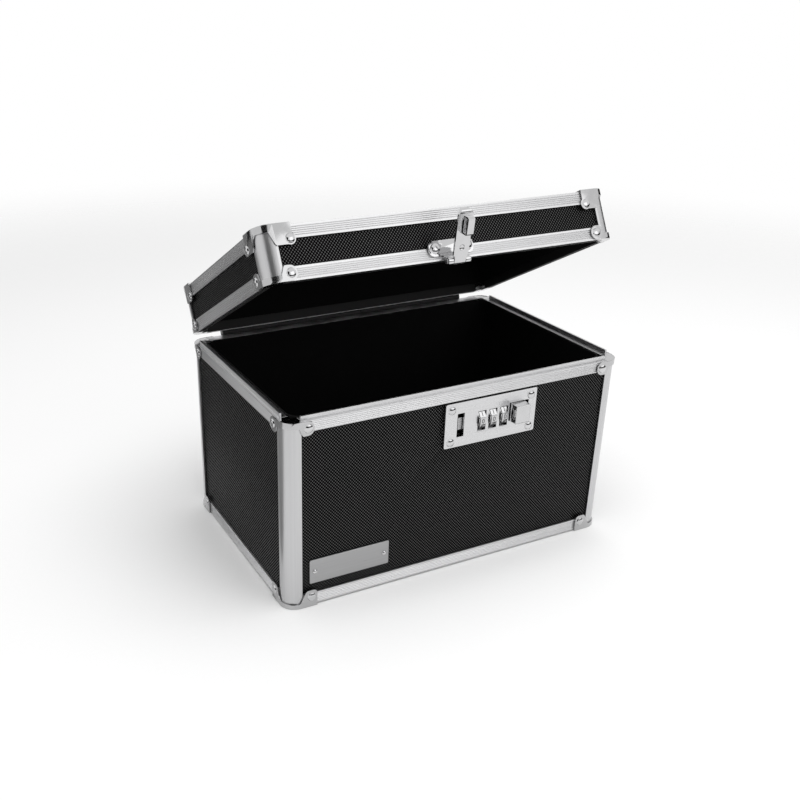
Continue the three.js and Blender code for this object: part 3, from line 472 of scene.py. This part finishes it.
# Nameplate: a bare plate on the front panel, held by two small rivets
def add_nameplate():
    left, right, low, high = -104.4, -49.4, 15.4, 32.0
    corner, steps = 0.8, 4
    gauge, rivet_inset, rivet_radius, rivet_rise = 1.0, 3.4, 1.7, 1.1
    panel_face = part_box("front_panel")[0].y / MM
    outline = []
    for x, z, start in ((right, low, -90), (right, high, 0), (left, high, 90), (left, low, 180)):
        middle_x = x - corner if x == right else x + corner
        middle_z = z - corner if z == high else z + corner
        for step in range(steps + 1):
            angle = math.radians(start + 90 * step / steps)
            out_x, out_z = corner * math.cos(angle), corner * math.sin(angle)
            outline.append((middle_x + out_x, middle_z + out_z))
    work = bmesh.new()
    back, front = (
        [work.verts.new((x * MM, y * MM, z * MM)) for x, z in outline]
        for y in (panel_face, panel_face - gauge)
    )
    work.faces.new(front)
    work.faces.new(reversed(back))
    for i in range(len(outline)):
        j = (i + 1) % len(outline)
        work.faces.new((back[i], back[j], front[j], front[i]))
    plate = finished(work, "nameplate")
    show("nameplate", plate, NAME_PLATE, "case", soften=SHEET_EDGE, segments=3)
    work = bmesh.new()
    for x in (left + rivet_inset, right - rivet_inset):
        place = Vector((x, panel_face - gauge, (low + high) / 2)) * MM
        dome(work, place, (0, -1, 0), rivet_radius * MM, rivet_rise * MM)
    show("nameplate_rivets", finished(work, "nameplate_rivets"), RIVET, "case", smooth=60)


add_nameplate()


# Hinge, with the heads of the rivets that hold its leaves
def add_leaf_rivets(node, body, count=6, radius=1.5, rise=0.6, inset=12, drop=1.6, gauge=1.2):
    leaf = [vertex.co.copy() for vertex in frame["nodes"][node].data.vertices]
    if body == "lid":
        leaf = [LID_TO_CLOSED @ point for point in leaf]
    half = max(point.x for point in leaf) - inset * MM
    edge = max(point.z for point in leaf) if body == "lid" else min(point.z for point in leaf)
    height = edge - drop * MM if body == "lid" else edge + drop * MM
    face = min(point.y for point in leaf) + gauge * MM
    work = bmesh.new()
    for i in range(count):
        place = (-half + 2 * half * i / (count - 1), face, height)
        dome(work, place, (0, 1, 0), radius * MM, rise * MM)
    if body == "lid":
        work.transform(LID_TO_OPEN)
    show(node + "_rivets", finished(work, node + "_rivets"), RIVET, body, smooth=60)


dress("hinge_case_leaf", BLACK_PAINT_AND_SHADE, DRAWN_EDGE)
dress("hinge_lid_leaf", BLACK_PAINT_AND_SHADE, DRAWN_EDGE)
dress("hinge_pin", STEEL, FITTING_EDGE)
add_leaf_rivets("hinge_case_leaf", "case")
add_leaf_rivets("hinge_lid_leaf", "lid")

# Hasp
dress("hasp_base", BRIGHT, PLATE_EDGE, segments=3, proud=(RIVET, HASP_BASE_FACE))
dress("hasp_arm", BRIGHT, PLATE_EDGE, segments=3)
dress("hasp_pin", STEEL, FITTING_EDGE)

# Lock, with the bolt's spring, which gets a mesh of its own
dress("lock_plate", PLATE, PLATE_EDGE, segments=3, proud=(RIVET, LOCK_PLATE_FACE))
dress("slide_button", BRIGHT, FITTING_EDGE)
dress("lock_bolt", STEEL, DRAWN_EDGE)
dress("lock_housing", CAST, FITTING_EDGE)
dress("dial_axle", STEEL, AXLE_EDGE)
spring = dress("bolt_spring", STEEL)
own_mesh(spring)


# Number wheels: bright facets, cheeks painted black as painted shade, and plain digits from 0 to 9.
# A face whose normal runs along the axle further than SIDEWAYS is a cheek's.
FACETS = 10
FACET_TURN = math.radians(36)
SIDEWAYS = 0.5


def dress_dial(node):
    piece = dress(node, DIAL, TRIM_EDGE)
    # The cheeks take the black material: painted shade on the wheels' sides
    piece.data.materials.append(BLACK_PAINT_AND_SHADE)
    for polygon in piece.data.polygons:
        if abs(polygon.normal.x) > SIDEWAYS:
            polygon.material_index = 1


def add_digits(node, facet_reach=7.384, size=4.2, raised=0.02, weight=0.03):
    """A digit on each of the facets; 0 faces the front and the others follow upwards."""
    middle = Vector(JOINTS[f"{node}_spin"]["pos_m"])
    work = bmesh.new()
    for digit in range(FACETS):
        curve = bpy.data.curves.new("digit", "FONT")
        curve.body = str(digit)
        curve.size = size * MM
        curve.align_x = "CENTER"
        curve.align_y = "CENTER"
        curve.extrude = raised * MM
        curve.offset = weight * MM
        curve.resolution_u = 3
        text = bpy.data.objects.new("digit", curve)
        bpy.context.scene.collection.objects.link(text)
        evaluated = text.evaluated_get(bpy.context.evaluated_depsgraph_get())
        flat = bpy.data.meshes.new_from_object(evaluated)
        bpy.data.objects.remove(text)
        angle = FACET_TURN * digit
        out = Vector((0, -math.cos(angle), math.sin(angle)))
        up = Vector((0, math.sin(angle), math.cos(angle)))
        place = middle + out * facet_reach * MM
        flat.transform(Matrix((
            (1, up.x, out.x, place.x),
            (0, up.y, out.y, place.y),
            (0, up.z, out.z, place.z),
            (0, 0, 0, 1),
        )))
        work.from_mesh(flat)
        bpy.data.meshes.remove(flat)
    mesh = bpy.data.meshes.new(node + "_digits")
    work.to_mesh(mesh)
    work.free()
    show(node + "_digits", mesh, INK, node)


for wheel in (1, 2, 3):
    dress_dial(f"dial_{wheel}")
    add_digits(f"dial_{wheel}")


# Camera, as solved from the photograph's edges in case widths, degrees and pixels
def add_camera():
    case_width, distance = 0.240, 2.3444
    picture, focal, centre_x, centre_y = 800, 976.9, 325.7, 429.5
    sensor = 36
    target = Vector((-0.3825, -0.2995, 0.4802)) * case_width + Vector((0, CASE_Y, 0))
    azimuth, elevation, roll = map(math.radians, (-26.45, 25.21, 0.31))
    back = Vector((
        math.sin(azimuth) * math.cos(elevation),
        -math.cos(azimuth) * math.cos(elevation),
        math.sin(elevation),
    ))
    right = Vector((math.cos(azimuth), math.sin(azimuth), 0))
    up = back.cross(right)
    turned_right = right * math.cos(roll) + up * math.sin(roll)
    turned_up = up * math.cos(roll) - right * math.sin(roll)
    data = bpy.data.cameras.new("camera")
    data.sensor_width = sensor
    data.lens = focal / picture * sensor
    data.shift_x = (picture / 2 - centre_x) / picture
    data.shift_y = (centre_y - picture / 2) / picture
    data.clip_start, data.clip_end = 0.01, 20
    camera = bpy.data.objects.new("camera", data)
    camera.matrix_world = Matrix.Translation(target + back * distance * case_width) @ Matrix((
        (turned_right.x, turned_up.x, back.x, 0),
        (turned_right.y, turned_up.y, back.y, 0),
        (turned_right.z, turned_up.z, back.z, 0),
        (0, 0, 0, 1),
    ))
    bpy.context.scene.collection.objects.link(camera)
    bpy.context.scene.camera = camera


def background_rays(graph):
    """1 for the rays that should see the plain white background."""
    path = graph.node("ShaderNodeLightPath")
    seen = graph.math("MAXIMUM", path.outputs["Is Camera Ray"], path.outputs["Is Glossy Ray"])
    return graph.math("MAXIMUM", seen, path.outputs["Is Transmission Ray"])


def add_world(fill):
    world = bpy.data.worlds.new("studio")
    bpy.context.scene.world = world
    world.use_nodes = True
    graph = Graph(world)
    light = world.node_tree.nodes["Background"]
    light.inputs["Color"].default_value = (1, 1, 1, 1)
    graph.link(graph.spread(background_rays(graph), fill, 1.0), light.inputs["Strength"])


def rectangle(left, right, front, rear, height=0.0):
    sides = ((left, front), (right, front), (right, rear), (left, rear))
    return [(x, y, height) for x, y in sides]


def curved_wall(radius, low, high, start, end, steps=48):
    """The corners and faces of an upright wall round part of the stage."""
    turns = [math.radians(start + (end - start) * step / steps) for step in range(steps + 1)]
    ring = [(radius * math.cos(turn), radius * math.sin(turn)) for turn in turns]
    corners = [(x, y, z) for z in (low, high) for x, y in ring]
    faces = [(i, i + 1, steps + 2 + i, steps + 1 + i) for i in range(steps)]
    return corners, faces


def add_stage_sheet(name, corners, material, faces=None):
    mesh = bpy.data.meshes.new(name)
    mesh.from_pydata(corners, [], faces or [tuple(range(len(corners)))])
    mesh.materials.append(material)
    sheet = bpy.data.objects.new(name, mesh)
    bpy.context.scene.collection.objects.link(sheet)
    return sheet


def add_floor(reach, fade_start, fade_end):
    """White paper that melts into the white background away from the box."""
    material, shader = new_material("floor_paper", grey(0.93, 1), 0, 0.9, 0)
    graph = Graph(material)
    length = graph.node("ShaderNodeVectorMath", {0: object_place(graph)}, operation="LENGTH")
    radius = length.outputs["Value"]
    fibre = graph.noise(object_place(graph), 400, 2)
    graph.link(graph.mix(fibre, grey(0.92, 1), grey(0.94, 1)), shader.inputs["Base Color"])
    clear = graph.node("ShaderNodeBsdfTransparent").outputs["BSDF"]
    blend = graph.node("ShaderNodeMixShader", {0: graph.smooth(radius, fade_start, fade_end)})
    graph.link(shader.outputs["BSDF"], blend.inputs[1])
    graph.link(clear, blend.inputs[2])
    output = material.node_tree.nodes["Material Output"]
    graph.link(blend.outputs["Shader"], output.inputs["Surface"])
    add_stage_sheet("floor", rectangle(-reach, reach, -reach, reach), material)


STAGE_AIM = Vector((0, 0, 0.1))


def facing(direction, distance):
    """A place and a turn that face the stage's aim point from a direction."""
    place = STAGE_AIM + Vector(direction).normalized() * distance
    return Matrix.LocRotScale(place, (STAGE_AIM - place).to_track_quat("-Z", "Y"), None)


def add_lamp(name, direction, distance, size, power):
    data = bpy.data.lights.new(name, "AREA")
    data.shape = "RECTANGLE"
    data.size, data.size_y = size
    data.energy = power
    lamp = bpy.data.objects.new(name, data)
    lamp.matrix_world = facing(direction, distance)
    bpy.context.scene.collection.objects.link(lamp)
    return lamp


def add_reflector(name, tone, corners, faces=None):
    """A card that is seen only in reflections: a painted reflection of its tone."""
    material, _ = new_material(name, grey(tone, 1), 0, 0.9, 0)
    card = add_stage_sheet(name, corners, material, faces)
    card.visible_camera = False
    card.visible_diffuse = False
    card.visible_transmission = False
    card.visible_shadow = False
    return card


add_camera()
add_world(fill=0.42)
add_floor(reach=3, fade_start=0.6, fade_end=1.3)
add_lamp("front_softbox", (0.36, -0.82, 0.44), distance=1.3, size=(1.0, 0.9), power=2.0)
overhead = add_lamp("top_softbox", (0.08, -0.12, 1.0), distance=1.5, size=(1.7, 1.7), power=24.0)
overhead.visible_glossy = False
# Painted reflections: cards seen only in reflections darken the metals, with a dark one behind the
# camera, a dim one on the floor at the left and a dark wall round the stage
DARK, DIM = 0.02, 0.28
dark_reflection_card = add_reflector("painted_reflection_behind_camera", DARK, rectangle(-0.36, 0.36, -0.45, 0.45))
dark_reflection_card.matrix_world = facing((-0.58, -0.7, 0.42), distance=1.1)
add_reflector("painted_dim_reflection_left", DIM, rectangle(-1.2, -0.16, -0.05, 1.2, height=0.001))
dark_reflection_wall = curved_wall(radius=1.4, low=0.0, high=0.42, start=-150, end=140)
add_reflector("painted_dark_reflection_wall", DARK, *dark_reflection_wall)
bpy.context.scene.view_settings.view_transform = "Standard"
